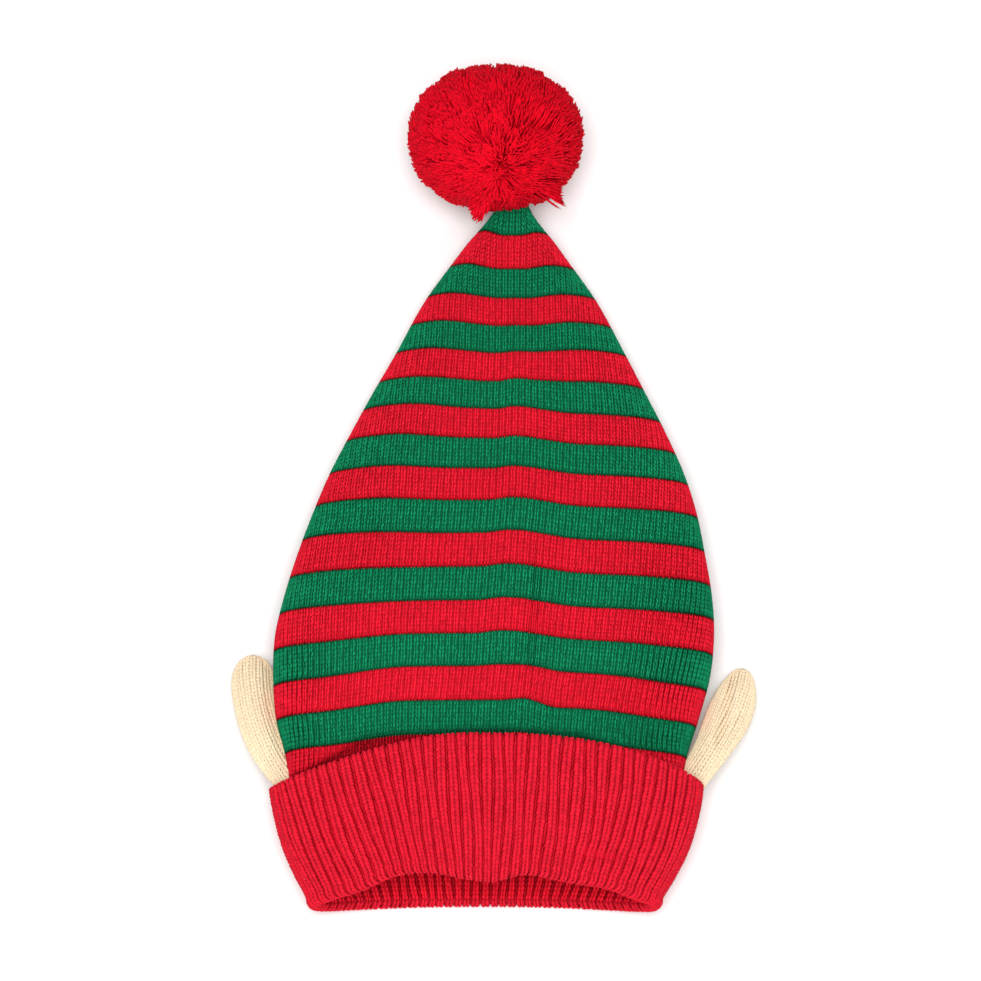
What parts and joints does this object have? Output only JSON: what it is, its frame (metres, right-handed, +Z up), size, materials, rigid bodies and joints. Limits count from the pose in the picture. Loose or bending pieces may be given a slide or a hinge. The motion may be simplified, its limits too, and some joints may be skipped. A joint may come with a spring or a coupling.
{
  "type": "striped knitted elf hat",
  "caption": "Long tapering striped knitted hat with a turned-up ribbed cuff, stuffed pointed side ears and a yarn pompom, lying on its back.",
  "frame": {"origin": "middle of the footprint of the hat, on the surface that it lies on", "axes": "+X to the right seen from the front, +Y from the opening towards the pompom, +Z up from the surface through the front of the hat"},
  "size_m": [0.2846, 0.4636, 0.0856],
  "materials": {
    "striped_knit": "stocking-stitch knit in even red and green stripes, matt wool",
    "red_rib_knit": "one-by-one rib knit, matt wool",
    "cream_knit": "fine stocking-stitch knit over stuffing, matt",
    "red_yarn": "cut loose yarn, matt"
  },
  "bodies": {
    "root": {"crown": "striped_knit", "cuff": "red_rib_knit", "ear_left": "cream_knit", "ear_right": "cream_knit", "pompom": "red_yarn"}
  },
  "joints": []
}
